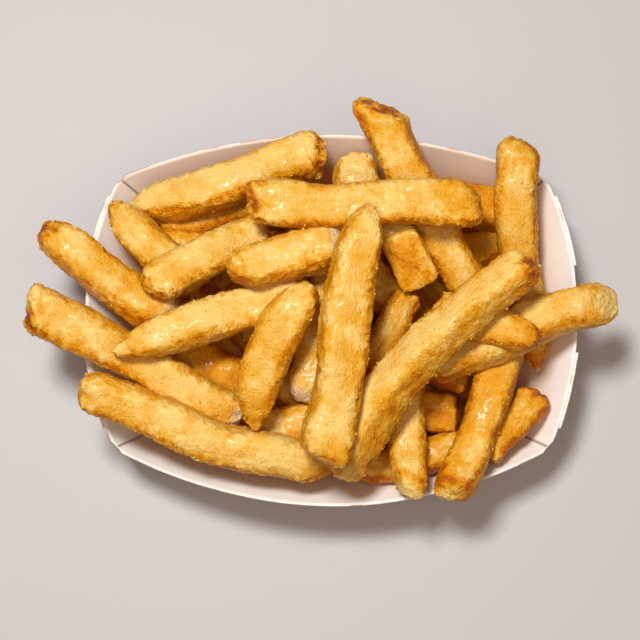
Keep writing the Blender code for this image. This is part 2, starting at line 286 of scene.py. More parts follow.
class Tree:
    """A node tree being built."""

    def __init__(self, nodes):
        self.tree = nodes

    def add(self, kind, settings=None, values=None, output=0):
        """Add a node: its settings first, then values or links for its sockets."""
        node = self.tree.nodes.new(kind)
        for name, value in (settings or {}).items():
            if name == "stops":
                self.set_stops(node.color_ramp, value)
            else:
                setattr(node, name, value)
        for key, value in (values or {}).items():
            socket = self.find(node.inputs, key)
            if isinstance(value, Field):
                self.tree.links.new(value.socket, socket)
            else:
                socket.default_value = value
        return Field(self, self.find(node.outputs, output))

    @staticmethod
    def find(sockets, key):
        """The socket in use that has a name or a number."""
        if isinstance(key, int):
            return sockets[key]
        return next(s for s in sockets if s.enabled and s.name == key)

    @staticmethod
    def set_stops(ramp, stops):
        """Give a ramp its (place, colour) stops."""
        while len(ramp.elements) < len(stops):
            ramp.elements.new(0.5)
        for element, (place, colour) in zip(ramp.elements, stops):
            element.position = place
            element.color = colour

    def vector(self, operation, *values):
        """One Vector Math node."""
        output = "Value" if operation == "DOT_PRODUCT" else "Vector"
        return self.add("ShaderNodeVectorMath", {"operation": operation}, dict(enumerate(values)),
                        output)

    def sway(self, vector, scale):
        """Noise to every side of zero, as a vector."""
        return self.vector("SUBTRACT", self.noise(vector, scale, 1.0, output="Color"),
                           (0.5, 0.5, 0.5))

    def scaled(self, vector, factor):
        """A vector times a number."""
        return self.add("ShaderNodeVectorMath", {"operation": "SCALE"},
                        {"Vector": vector, "Scale": factor}, "Vector")

    def mix(self, factor, first, second):
        """Blend of two colours."""
        return self.add("ShaderNodeMix", {"data_type": "RGBA"},
                        {"Factor": factor, "A": first, "B": second}, "Result")

    def between(self, value, low, high):
        """0 below low and 1 above high, with a soft step."""
        return self.add("ShaderNodeMapRange", {"interpolation_type": "SMOOTHSTEP"},
                        {"Value": value, "From Min": low, "From Max": high}, "Result")

    def noise(self, vector, scale, detail=2.0, rough=0.5, output="Fac"):
        """Noise with a number of features to the metre."""
        return self.add("ShaderNodeTexNoise", None, {"Vector": vector, "Scale": scale,
                        "Detail": detail, "Roughness": rough}, output)

    def cells(self, vector, scale, feature="F1"):
        """Distance from the middle of cells, with a number of them to the metre."""
        return self.add("ShaderNodeTexVoronoi", {"feature": feature},
                        {"Vector": vector, "Scale": scale}, "Distance")


class GeometryTree(Tree):
    """A Geometry Nodes tree with named inputs, given with their defaults."""
    kinds = {float: "NodeSocketFloat", int: "NodeSocketInt", type(None): "NodeSocketMaterial"}

    def __init__(self, name, inputs):
        super().__init__(bpy.data.node_groups.new(name, "GeometryNodeTree"))
        face = self.tree.interface
        face.new_socket("Geometry", in_out="INPUT", socket_type="NodeSocketGeometry")
        for label, default in inputs.items():
            kind = self.kinds[type(default)]
            face.new_socket(label, in_out="INPUT", socket_type=kind).default_value = default
        face.new_socket("Geometry", in_out="OUTPUT", socket_type="NodeSocketGeometry")
        self.start = self.tree.nodes.new("NodeGroupInput")

    def __getitem__(self, name):
        return Field(self, self.start.outputs[name])

    def attribute(self, name, kind="FLOAT"):
        """A named attribute of the geometry."""
        return self.add("GeometryNodeInputNamedAttribute", {"data_type": kind}, {"Name": name},
                        "Attribute")

    def store(self, geometry, name, value, kind="FLOAT"):
        """Keep a value on the geometry's points."""
        return self.add("GeometryNodeStoreNamedAttribute", {"data_type": kind, "domain": "POINT"},
                        {"Geometry": geometry, "Name": name, "Value": value}, "Geometry")

    def parts(self, vector):
        """The three numbers of a vector."""
        first = self.add("ShaderNodeSeparateXYZ", None, {0: vector}, "X")
        outputs = first.socket.node.outputs
        return first, Field(self, outputs["Y"]), Field(self, outputs["Z"])

    def point(self, x, y, z):
        """A vector from three numbers."""
        return self.add("ShaderNodeCombineXYZ", None, {"X": x, "Y": y, "Z": z})

    def grid(self, size, columns, rows):
        """A square grid, and the places of its points across and upward."""
        made = self.add("GeometryNodeMeshGrid", None, {"Size X": size, "Size Y": size,
                        "Vertices X": columns, "Vertices Y": rows}, "Mesh")
        return (made,) + self.parts(self.add("GeometryNodeInputPosition"))[:2]

    def join(self, *pieces):
        """Several geometries as one."""
        joined = self.add("GeometryNodeJoinGeometry")
        for piece in pieces:
            self.tree.links.new(piece.socket, joined.socket.node.inputs[0])
        return joined

    def moved(self, geometry, **values):
        """A geometry with its points at another Position, or moved by an Offset."""
        return self.add("GeometryNodeSetPosition", None, {"Geometry": geometry, **values})

    def end(self, geometry):
        """Close the tree with its result."""
        last = self.tree.nodes.new("NodeGroupOutput")
        self.tree.links.new(geometry.socket, last.inputs[0])
        return self.tree

    def dressed(self, geometry):
        """A geometry with the tree's material."""
        return self.add("GeometryNodeSetMaterial", None, {"Geometry": geometry,
                        "Material": self["Material"]})


def grown(name, start, tree, values):
    """Run a tree on a mesh once and keep the result as a plain mesh object."""
    thing = linked(name, start)
    growth = thing.modifiers.new("growth", "NODES")
    growth.node_group = tree
    sockets = {item.name: item.identifier for item in tree.interface.items_tree
               if item.in_out == "INPUT"}
    for label, value in values.items():
        growth[sockets[label]] = value
    made = frozen(thing, name)
    if made.materials[0] is None:
        made.materials.pop(index=0)
    if not made.polygons:
        raise RuntimeError(f"{name} came out empty")
    return thing


def frozen(thing, name):
    """An object's mesh with its modifiers' result."""
    depsgraph = bpy.context.evaluated_depsgraph_get()
    made = bpy.data.meshes.new_from_object(thing.evaluated_get(depsgraph),
                                           preserve_all_data_layers=True, depsgraph=depsgraph)
    thing.modifiers.clear()
    made.name = name
    thing.data = made
    return made


def linked(name, data):
    """A new object of the scene."""
    thing = bpy.data.objects.new(name, data)
    bpy.context.scene.collection.objects.link(thing)
    return thing


def closed(bm, name):
    """The mesh of a finished BMesh."""
    mesh = bpy.data.meshes.new(name)
    bm.to_mesh(mesh)
    bm.free()
    return mesh


def plain_mesh(name, points, edges=()):
    """A mesh of points, in millimetres, and edges."""
    made = bpy.data.meshes.new(name)
    made.from_pydata([Vector(p) * MM for p in points], edges, [])
    return made


class Material(Tree):
    """A Principled material being built."""

    def __init__(self, name, roughness, **constants):
        self.material = bpy.data.materials.new(name)
        self.material.use_nodes = True
        super().__init__(self.material.node_tree)
        self.shader = self.tree.nodes["Principled BSDF"]
        self.shader.inputs["Roughness"].default_value = roughness
        for label, value in constants.items():
            self.shader.inputs[label.replace("_", " ").title()].default_value = value

    def place(self):
        """Object coordinates."""
        return self.add("ShaderNodeTexCoord", None, None, "Object")

    def attribute(self, name, output="Fac"):
        """An attribute of the mesh."""
        return self.add("ShaderNodeAttribute", {"attribute_name": name}, None, output)

    def feed(self, label, value):
        """Link a value to one of the shader's inputs."""
        self.tree.links.new(value.socket, self.shader.inputs[label])

    def bump(self, height, distance):
        """Raise the surface by a height from 0 to 1, times a distance."""
        self.feed("Normal", self.add("ShaderNodeBump", None,
                                     {"Height": height, "Distance": distance}, "Normal"))


def fried_material(settings):
    """Golden batter: cream on the flats, amber along edges, brown at toasted tips; painted shade in
    amber on sides turned from the light, in hollows and on deep fries.
    """
    look = Material("fried_batter", 0.42, subsurface_weight=0.35, subsurface_scale=0.0022,
                    coat_roughness=0.18)
    look.shader.inputs["Subsurface Radius"].default_value = (1.0, 0.45, 0.12)
    look.shader.inputs["Specular IOR Level"].default_value = 0.14
    grain = look.attribute("grain", "Vector")
    edge, brown, pale, tone, under, raised, face = (look.attribute(name) for name in (
        "corner", "brown", "pale", "tone", "under", "raised", "face"))
    along = look.vector("MULTIPLY", grain, (0.14, 1.0, 1.0))

    blotch = look.noise(grain, 90.0, 3.0, 0.5) - 0.5
    wide = look.noise(grain, 26.0, 1.0)
    patch = look.noise(grain, 260.0, 3.0, 0.55)
    speckle = look.noise(grain, 1100.0, 2.0, 0.6)
    streak = look.noise(along, 800.0, 3.0, 0.65)

    rim = look.between(face, 0.02, 0.12) * (1.0 - look.between(face, 0.16, 0.4))
    # Painted light and shade: where the relief is low the colour goes darker, on crests paler
    flats = (0.27 - blotch * 0.7 - raised * 0.60 + (patch - 0.5) * 0.34 - (streak - 0.5) * 0.36
             - (speckle - 0.5) * 0.42 - (wide - 0.5) * 0.34 - face * 0.40)
    # Painted shade: sides turned from the light, and fries given low tones deep in the heap, go
    # towards gold and amber
    browning_and_shade = (flats.math("MINIMUM", 0.56) + under * (1.0 - face) * 0.46 + edge * 0.16
            - tone * 0.22 + rim * 0.26 + brown * 0.15)
    colour = look.add("ShaderNodeValToRGB", {"stops": (
        (0.05, settings.cream), (0.38, settings.honey), (0.64, settings.gold),
        (1.0, settings.amber))}, {"Fac": browning_and_shade}, "Color")
    bare = look.between(pale + patch * 0.8 - 0.4, 0.35, 0.75)
    colour = look.mix(bare * 0.85, colour, settings.pale)
    # The hollows' extra amber and brown here is painted shade as well
    toast = (brown * 0.64 + rim * 0.2 + (patch - 0.5) * 1.2 + (speckle - 0.5) * 0.9
             + edge * brown * 0.15 - raised * 0.6)
    colour = look.mix(look.between(toast, 0.30, 0.80) * 0.7, colour, settings.amber)
    colour = look.mix(look.between(toast, 0.56, 1.00) * 0.8, colour, settings.brown)
    dot = 1.0 - look.between(look.cells(grain, 62.0), 0.018, 0.034)
    colour = look.mix(dot * 0.7, colour, settings.brown)
    look.feed("Base Color", colour)
    look.feed("Roughness", patch * 0.2 + 0.28)
    fine = look.noise(grain, 2300.0, 2.0, 0.6)
    look.feed("Coat Weight", look.between(fine, 0.52, 0.66) * 0.6 + 0.04)
    look.bump(speckle * 0.72 + streak * 0.2 + fine * 0.35 + patch * 0.5, 0.0012)
    return look.material


def core_material(settings):
    """Batter between the fries, dark brown and amber: painted shade of the gaps between them."""
    look = Material("batter_below", 0.5)
    mottle = look.noise(look.place(), 140.0, 4.0, 0.6)
    look.feed("Base Color", look.mix(look.between(mottle, 0.35, 0.7), settings.brown,
                                     settings.amber))
    look.bump(mottle, 0.002)
    return look.material


def inside_material(settings):
    """Uncoated paperboard with faint fibres; orange painted shade low down and on the back wall,
    with spots of oil soaked in.
    """
    look = Material("paper_inside", 0.62)
    sheet = look.attribute("sheet", "Vector")
    fibre = look.noise(look.vector("MULTIPLY", sheet, (1.0, 3.0, 1.0)), 420.0, 4.0, 0.65)
    cloud = look.noise(sheet, 38.0, 3.0, 0.5)
    # Painted shade: low down on the walls and on the back wall the paper turns orange; the cloud
    # spots are oil
    low = look.between(look.attribute("depth"), 0.06, 0.55)
    back = look.between(look.vector("DOT_PRODUCT", look.place(), (0.0, 1.0, 0.0)), 0.02, 0.06)
    oil_and_painted_shade = low * 0.75 + look.between(cloud, 0.56, 0.70) * low * 0.3 + back * 0.30
    colour = look.mix(oil_and_painted_shade, settings.inside, settings.grease)
    colour = look.mix(look.between(fibre, 0.3, 0.8) * 0.10, colour, (0.70, 0.58, 0.53, 1.0))
    # Painted shadow: a dark line along the folds at the corners, with a small groove in the bump
    crease_shadow = 1.0 - look.between(look.attribute("fold"), 0.0001, 0.0008)
    colour = look.mix(crease_shadow * 0.8, colour, (0.26, 0.18, 0.15, 1.0))
    look.feed("Base Color", colour)
    look.feed("Roughness", 0.66 - oil_and_painted_shade * 0.3)
    look.bump(fibre * 0.3 + crease_shadow * -1.0, 0.0002)
    return look.material


def outside_material(settings):
    """Outer face with a printed check."""
    look = Material("paper_printed", 0.38)
    sheet = look.attribute("sheet", "Vector")
    checker = look.add("ShaderNodeTexChecker", None, {
        "Vector": sheet, "Scale": 1.0 / settings.check, "Color1": settings.printed,
        "Color2": settings.unprinted}, "Color")
    ink = look.noise(sheet, 900.0, 3.0, 0.6)
    colour = look.mix(look.between(ink, 0.55, 0.8) * 0.12, checker, settings.unprinted)
    look.feed("Base Color", colour)
    look.bump(look.noise(sheet, 500.0, 3.0, 0.6), 0.00006)
    return look.material


def edge_material(settings):
    """Raw cut edge of the paperboard, with ink carried over it here and there."""
    look = Material("paper_edge", 0.7)
    fleck = look.noise(look.place(), 600.0, 3.0, 0.6)
    colour = look.mix(look.between(fleck, 0.35, 0.7), (0.84, 0.77, 0.74, 1.0),
                      (0.93, 0.89, 0.87, 1.0))
    carried = look.between(look.noise(look.place(), 110.0, 2.0), 0.54, 0.62)
    colour = look.mix(carried * 0.55, colour, settings.printed)
    look.feed("Base Color", colour)
    return look.material


def floor_material(colour):
    """Plain pale floor."""
    look = Material("studio_floor", 0.6)
    cloud = look.noise(look.place(), 6.0, 3.0, 0.5)
    paler = tuple(min(1.0, c * 1.03) for c in colour[:3]) + (1.0,)
    look.feed("Base Color", look.mix(cloud, colour, paler))
    return look.material


def wall_tree():
    """One leaning wall between two bowed lines, or a strip of it, for a tray in metres."""
    tree = GeometryTree("tray_wall", {
        "Floor Run": 0.057, "Floor Out": 0.036, "Rim Run": 0.079, "Rim Out": 0.050,
        "Fold Bow": 0.007, "Rim Bow": 0.02, "Corner Height": 0.034, "Middle Height": 0.042,
        "Paper": 0.0005, "Turn": 0.0, "From": -1.0, "To": 1.0, "Foot": 0.0, "Columns": 97,
        "Rows": 33, "Rise": 0.0, "Stand Off": 0.0, "Spring": 0.0})
    grid, across, upward = tree.grid(1.0, tree["Columns"], tree["Rows"])
    along = tree["From"] + (tree["To"] - tree["From"]) * (across + 0.5)
    up = tree["Foot"] + (1.0 - tree["Foot"]) * (upward + 0.5)
    bulge = 1.0 - along * along
    run = (tree["Floor Run"] + (tree["Rim Run"] - tree["Floor Run"]) * up) * along
    fold = tree["Floor Out"] + tree["Fold Bow"] * bulge
    rim = tree["Rim Out"] + tree["Rim Bow"] * bulge
    out = fold + (rim - fold) * up
    height = tree["Corner Height"] + (tree["Middle Height"] - tree["Corner Height"]) * bulge
    z = tree["Paper"] + (height - tree["Paper"]) * up + tree["Rise"] * up ** 3.0
    stored = tree.store(grid, "fold", (1.0 - along.math("ABSOLUTE")) * tree["Rim Run"])
    stored = tree.store(stored, "depth", 1.0 - up)
    sheet = tree.point(run + tree["Turn"], z * WALL_SLANT, 0.0)
    stored = tree.store(stored, "sheet", sheet, "FLOAT_VECTOR")
    spot = tree.point(run, out * -1.0, z)
    turned = tree.add("ShaderNodeVectorRotate", {"rotation_type": "Z_AXIS"},
                      {"Vector": spot, "Angle": tree["Turn"]}, "Vector")
    placed = tree.moved(stored, Position=turned)
    lift = tree["Stand Off"] + tree["Spring"] * (1.0 - tree.attribute("depth")) ** 3.0
    normal = tree.add("GeometryNodeInputNormal")
    return tree.end(tree.moved(placed, Offset=tree.scaled(normal, lift)))


def tray_tree(settings):
    """The folded blank: floor, four walls, and four flaps glued round the end walls."""
    lengths = ("Floor Length", "Floor Width", "Rim Length", "Rim Width", "Corner Height", "Paper",
               "Flap Rise", "Flap Spring")
    inputs = {label: getattr(settings, label.lower().replace(" ", "_")) for label in lengths}
    inputs.update({"Long Columns": 121, "Short Columns": 81, "Rows": 29, "Warp": 0.0004,
                   "Seed": 3.0, "Material": None})
    tree = GeometryTree("folded_tray", inputs)
    wall = wall_tree()

    def patch(side, columns, **values):
        """One wall or flap from the wall's rule."""
        kinds = ("Length", "Width") if side.long else ("Width", "Length")
        values = {key.replace("_", " "): value for key, value in values.items()}
        for line in ("Floor ", "Rim "):
            values[line + "Run"] = tree[line + kinds[0]] * 0.5
            values[line + "Out"] = tree[line + kinds[1]] * 0.5
        values.update({
            "Fold Bow": side.fold_bow * MM, "Rim Bow": side.rim_bow * MM,
            "Corner Height": tree["Corner Height"], "Middle Height": side.middle_height * MM,
            "Paper": tree["Paper"], "Turn": math.radians(side.turn), "Columns": columns,
            "Rows": tree["Rows"]})
        return tree.add("GeometryNodeGroup", {"node_tree": wall}, values)

    columns = {True: tree["Long Columns"], False: tree["Short Columns"]}
    walls = [patch(side, columns[side.long]) for side in WALLS]
    grid, x, y = tree.grid(2.0, columns[True], columns[False])
    side_bow, end_bow = WALLS[0].fold_bow * MM, WALLS[1].fold_bow * MM
    floor_x = x * (tree["Floor Length"] * 0.5 + (1.0 - y * y) * end_bow)
    floor_y = y * (tree["Floor Width"] * 0.5 + (1.0 - x * x) * side_bow)
    floor = tree.moved(grid, Position=tree.point(floor_x, floor_y, tree["Paper"]))
    floor = tree.add("GeometryNodeFlipFaces", None, {"Mesh": floor})
    spot = tree.add("GeometryNodeInputPosition")
    floor = tree.store(floor, "sheet", spot, "FLOAT_VECTOR")
    floor = tree.store(floor, "depth", 1.0)
    floor = tree.store(floor, "fold", 1.0)
    blank = tree.add("GeometryNodeMergeByDistance", None, {"Geometry": tree.join(floor, *walls),
                     "Distance": 0.00002})
    near = 1.0 - tree.between(tree.attribute("fold"), 0.0008, 0.0026)
    above = 1.0 - tree.between(tree.attribute("depth"), 0.7, 0.98)
    eased = tree.add("GeometryNodeBlurAttribute", {"data_type": "FLOAT_VECTOR"},
                     {"Value": spot, "Iterations": 5, "Weight": near * above}, "Value")
    blank = tree.moved(blank, Position=eased)

    flaps = []
    for side in WALLS[1::2]:
        for start, stop in FLAP_SPANS:
            flaps.append(patch(side, 33, From=start, To=stop, Foot=0.05, Rise=tree["Flap Rise"],
                               Stand_Off=tree["Paper"] * 1.05, Spring=tree["Flap Spring"]))
    whole = tree.join(blank, *flaps)
    wave = tree.sway(tree.vector("ADD", spot, tree.point(tree["Seed"], 0.0, 0.0)), 22.0)
    free = (1.0 - tree.attribute("depth")) * tree["Warp"] * 2.0
    whole = tree.moved(whole, Offset=tree.scaled(wave, free))
    return tree.end(tree.dressed(whole))


def fry_tree(settings):
    """Battered fries round their spines, with warp, lumps, blisters and ridges."""
    tree = GeometryTree("battered_fries", {
        "Sides": settings.sides, "Warp": settings.warp, "Lumps": settings.lumps,
        "Blisters": settings.blisters, "Streaks": settings.streaks, "Seed": 0.0,
        "Material": None})
    spot = tree.add("GeometryNodeInputPosition")
    spine = tree.add("GeometryNodeMeshToCurve", None, {"Mesh": tree["Geometry"]})
    spine = tree.add("GeometryNodeSetCurveNormal", {"mode": "Z_UP"}, {"Curve": spine})
    spine = tree.add("GeometryNodeSetCurveTilt", None, {"Curve": spine,
                     "Tilt": tree.attribute("roll")})
    spine = tree.store(spine, "axis", spot, "FLOAT_VECTOR")
    ring = tree.add("GeometryNodeCurvePrimitiveCircle", None, {"Resolution": tree["Sides"],
                    "Radius": 1.0})
    ring = tree.store(ring, "ring", spot, "FLOAT_VECTOR")
    skin = tree.add("GeometryNodeCurveToMesh", None, {"Curve": spine, "Profile Curve": ring,
                    "Scale": tree.attribute("half"), "Fill Caps": True})

    across, upward, _ = tree.parts(tree.attribute("ring", "FLOAT_VECTOR"))
    square = tree.attribute("square")
    spread = across.math("ABSOLUTE") ** square + upward.math("ABSOLUTE") ** square
    reach = spread ** (-1.0 / square)
    axis = tree.attribute("axis", "FLOAT_VECTOR")
    arm = tree.vector("SUBTRACT", spot, axis)
    half = tree.attribute("half")
    slope = across * tree.attribute("cut") - upward * tree.attribute("lean")
    cut = tree.scaled(tree.attribute("heading", "FLOAT_VECTOR"), slope * reach * half)
    skin = tree.moved(skin, Position=tree.vector("ADD", axis, tree.scaled(arm, reach)), Offset=cut)

    offset = tree.attribute("index") * 0.11 + tree["Seed"]
    grain = tree.point(tree.attribute("along") + offset, across * reach * half + offset * 0.3,
                       upward * reach * half)
    skin = tree.store(skin, "grain", grain, "FLOAT_VECTOR")
    grain = tree.attribute("grain", "FLOAT_VECTOR")
    flat = across.math("ABSOLUTE")
    steep = upward.math("ABSOLUTE")
    place = flat.math("MINIMUM", steep) / flat.math("MAXIMUM", steep)
    skin = tree.store(skin, "corner", tree.between(place, 0.45, 0.95))
    corner = tree.attribute("corner")
    # Mask of the sides turned from the light: it paints shade into the batter's colour, and the
    # relief and the crumbs use it too
    facing = tree.vector("DOT_PRODUCT", tree.add("GeometryNodeInputNormal"), LIT_WAY)
    skin = tree.store(skin, "under", tree.between(1.0 - facing, 0.0, 0.68))

    skin = tree.moved(skin, Offset=tree.scaled(tree.sway(grain, 40.0), tree["Warp"] * 2.4))

    knob = tree.attribute("knob")
    lump = (tree.noise(grain, 110.0, 2.0) - 0.5) * (1.0 + knob * 1.6)
    under = tree.attribute("under")
    fold = ((tree.noise(grain, 300.0, 2.0) - 0.5)
            * (0.30 + corner * 0.4 + under * 0.6 + knob * 0.9))
    along = tree.vector("MULTIPLY", grain, (0.16, 1.0, 1.0))
    ridge = tree.noise(along, 520.0, 2.0) - 0.5
    grit = (tree.noise(grain, 600.0, 1.0, 0.6) - 0.5) * (0.16 + corner * under * 0.7)
    bubbled = tree.between(tree.noise(grain, 90.0, 1.0) + corner * 0.08 + under * 0.16, 0.50, 0.66)
    dome = (0.6 - tree.cells(grain, 560.0, "SMOOTH_F1")).math("MAXIMUM", 0.0) * bubbled
    height = ((lump + fold + grit) * tree["Lumps"] * 2.2 + ridge * tree["Streaks"] * 2.0
              + dome * tree["Blisters"] * 2.0)
    # Height of the relief, which the colour uses to paint hollows darker and crests paler
    skin = tree.store(skin, "raised", lump + fold * 1.5 + grit + dome)
    skin = tree.moved(skin, Offset=tree.scaled(tree.add("GeometryNodeInputNormal"), height))
    for name in ("axis", "ring", "half", "roll", "square", "index", "along", "knob",
                 "cut", "lean", "heading"):
        skin = tree.add("GeometryNodeRemoveAttribute", None, {"Geometry": skin, "Name": name})
    return tree.end(tree.dressed(skin))


def crumb_tree():
    """Small crumbs scattered over the fries, most of them near the toasted tips."""
    tree = GeometryTree("crumbs", {"Density": 1000.0, "Size": 0.0006, "Seed": 5, "Material": None})
    likely = (0.1 + tree.attribute("brown") * 1.2 + tree.attribute("pale")
              + tree.attribute("corner") * tree.attribute("under") * 1.5)
    spots = tree.add("GeometryNodeDistributePointsOnFaces", {"distribute_method": "RANDOM"},
                     {"Mesh": tree["Geometry"], "Density": tree["Density"] * likely,
                      "Seed": tree["Seed"]}, "Points")
    ball = tree.add("GeometryNodeMeshIcoSphere", None, {"Radius": 1.0, "Subdivisions": 1}, "Mesh")
    spin = tree.add("FunctionNodeRandomValue", {"data_type": "FLOAT_VECTOR"},
                    {"Max": (6.28, 6.28, 6.28), "Seed": 1}, "Value")
    size = tree.add("FunctionNodeRandomValue", {"data_type": "FLOAT"},
                    {"Min": 0.4, "Max": 1.15, "Seed": 2}, "Value")
    size = tree["Size"] * size
    shape = tree.point(size * 1.3, size, size * 0.75)
    turn = tree.add("FunctionNodeEulerToRotation", None, {0: spin})
    laid = tree.add("GeometryNodeInstanceOnPoints", None, {"Points": spots, "Instance": ball,
                    "Rotation": turn, "Scale": shape})
    real = tree.add("GeometryNodeRealizeInstances", None, {"Geometry": laid})
    spot = tree.add("GeometryNodeInputPosition")
    real = tree.moved(real, Offset=tree.scaled(tree.sway(spot, 1500.0), 0.0005))
    real = tree.store(real, "grain", spot, "FLOAT_VECTOR")
    real = tree.store(real, "tone", 0.5)
    return tree.end(tree.dressed(real))


def tip_rings(reach, half, spacing):
    """Distance from the tip and size of rings set evenly over a tip: long ones are pointed."""
    angle = np.linspace(0.02, math.pi / 2, 240)
    power = 0.85 if reach < POINTED else 1.15
    distance = reach * (1.0 - np.cos(angle) ** power)
    size = np.sin(angle) ** power
    steps = np.hypot(np.diff(distance), half * np.diff(size))
    run = np.concatenate(([0.0], np.cumsum(steps)))
    places = np.linspace(0.0, run[-1], max(5, int(run[-1] / spacing)))
    return np.interp(places, run, distance), np.interp(places, run, size)


def spine(row, spacing):
    """Points along a fry's axis, with the section's half width and the shares of its looks."""
    line = Vector(row.second) - Vector(row.first)
    length = line.length
    left = Vector((-line.y, line.x, 0.0)).normalized()
    near, near_size = tip_rings(row.tips[0], row.thick / 2, spacing)
    far, far_size = tip_rings(row.tips[1], row.thick / 2, spacing)
    gap = length - row.tips[0] - row.tips[1]
    middle = np.linspace(row.tips[0], length - row.tips[1], max(3, int(gap / spacing)))[1:-1]
    run = np.concatenate((near, middle, length - far[::-1]))
    size = np.concatenate((near_size, np.ones(len(middle)), far_size[::-1]))
    share = run / length
    swell = row.share[0] + (row.share[1] - row.share[0]) * share
    draw = random.Random(repr(row.first))
    swell *= 1.0 + 0.035 * np.sin(run / draw.uniform(4.0, 7.0) + draw.uniform(0.0, 6.3))
    bend = 4.0 * row.bow * share * (1.0 - share)
    bend += draw.uniform(0.3, 0.8) * np.sin(run / draw.uniform(7.0, 12.0) + draw.uniform(0.0, 6.3))
    points = np.outer(run, line.normalized()) + np.outer(bend, left) + np.array(Vector(row.first))
    looks = [TIPS[name] for name in row.looks.split()]
    near_cut, far_cut = (cut + draw.uniform(-0.12, 0.12) for cut in row.cuts)

    def faded(start, stop, reach):
        """One value at each tip, which fades out along the fry."""
        return start * np.exp(-(run / reach) ** 2) + stop * np.exp(-((length - run) / reach) ** 2)

    ends = {"cut": faded(near_cut, far_cut, CUT_REACH),
            "lean": faded(row.lean[0], -row.lean[1], CUT_REACH),
            "face": np.where(share < 0.5, looks[0].face, looks[1].face) * (1.0 - size)}
    for label, reach in LOOK_REACH.items():
        ends[label] = faded(getattr(looks[0], label), getattr(looks[1], label), reach)
    return points, {"half": row.thick / 2 * MM * swell * size, "along": run * MM,
                    "roll": np.full(len(run), math.radians(row.roll)),
                    "square": np.full(len(run), row.square), "tone": np.full(len(run), row.tone),
                    "heading": np.tile(np.array(line.normalized()), (len(run), 1)), **ends}


def spine_mesh(name, rows, spacing, first_index):
    """The axes of several fries as one mesh of lines with named values."""
    points, edges, values = [], [], {}
    for number, row in enumerate(rows):
        some, looks = spine(row, spacing)
        looks["index"] = np.full(len(some), float(first_index + number))
        start = len(points)
        edges += [(start + k, start + k + 1) for k in range(len(some) - 1)]
        points += list(some)
        for label, column in looks.items():
            values.setdefault(label, []).append(column)
    made = plain_mesh(name, points, edges)
    for label, columns in values.items():
        column = np.concatenate(columns).astype(np.float32)
        kinds = ("FLOAT", "value") if column.ndim == 1 else ("FLOAT_VECTOR", "vector")
        kept = made.attributes.new(label, kinds[0], "POINT")
        kept.data.foreach_set(kinds[1], column.ravel())
    return made


def wall_spans(settings, wall):
    """A wall's length, and the tray's width across it, each at the floor and at the rim."""
    lengths = (settings.floor_length, settings.rim_length)
    widths = (settings.floor_width, settings.rim_width)
    return (lengths, widths) if wall.long else (widths, lengths)


def wall_limit(settings, wall, run, z):
    """Distance of a wall's inner face from the middle, in metres, and whether it reaches z."""
    runs, outs = wall_spans(settings, wall)
    up = np.clip(z / settings.corner_height, 0.0, 1.0)
    for _ in range(4):
        along = run / (0.5 * (runs[0] + (runs[1] - runs[0]) * up))
        bulge = 1.0 - np.clip(along, -1.0, 1.0) ** 2
        top = settings.corner_height + (wall.middle_height * MM - settings.corner_height) * bulge
        up = (z - settings.paper) / (top - settings.paper)
    fold = outs[0] / 2 + wall.fold_bow * MM * bulge
    rim = outs[1] / 2 + wall.rim_bow * MM * bulge
    return fold + (rim - fold) * up, (up < 1.05) & (np.abs(along) < 1.02)


def keep_in_tray(thing, settings):
    """Press the skin in where it would touch the paper."""
    mesh = thing.data
    flat = np.empty(len(mesh.vertices) * 3, np.float32)
    mesh.vertices.foreach_get("co", flat)
    co = flat.reshape(-1, 3)
    gap = CLEARANCE * MM
    for wall in WALLS:
        run, out = (0, 1) if wall.long else (1, 0)
        way = -1.0 if wall.turn in (0, 270) else 1.0
        limit, reached = wall_limit(settings, wall, co[:, run], co[:, 2])
        beyond = np.maximum(co[:, out] * way - (limit - gap), 0.0)
        beyond = np.where(reached & (beyond < PRESS_LIMIT * MM), beyond, 0.0)
        co[:, out] -= way * beyond
    co[:, 2] = np.maximum(co[:, 2], settings.paper + gap)
    mesh.vertices.foreach_set("co", co.ravel())
    mesh.update()


def core_ring(settings, height):
    """Points round the tray's inside at a height, drawn in from the walls, in millimetres."""
    points = []
    for number, wall in enumerate(WALLS):
        way = 1.0 if number < 2 else -1.0
        turn = 1.0 if number in (1, 2) else -1.0
        up = height / (settings.corner_height / MM)
        runs, _ = wall_spans(settings, wall)
        half = 0.5 * (runs[0] + (runs[1] - runs[0]) * up)
        for k in range(CORE_ROUNDS // 4):
            run = way * half * (8.0 * k / CORE_ROUNDS - 1.0)
            out, _ = wall_limit(settings, wall, np.array([run]), np.array([height * MM]))
            out = turn * (float(out[0]) - CORE_INSET * MM)
            run *= 1.0 - CORE_INSET * MM / half
            x, y = (run, out) if wall.long else (out, run)
            points.append(Vector((x / MM, y / MM, height)))
    return points


def core_height(settings, x, y):
    """Height of the core's top at a place in the plan, in mm, and share of the way out."""
    half_x = settings.rim_length / MM * 0.42
    half_y = settings.rim_width / MM * 0.46
    share = math.hypot(x / half_x, y / half_y)
    shares = [0.0] + [ring[0] for ring in CORE_RINGS[::-1]]
    heights = [CORE_TOP] + [ring[1] for ring in CORE_RINGS[::-1]]
    return float(np.interp(share, shares, heights)), share


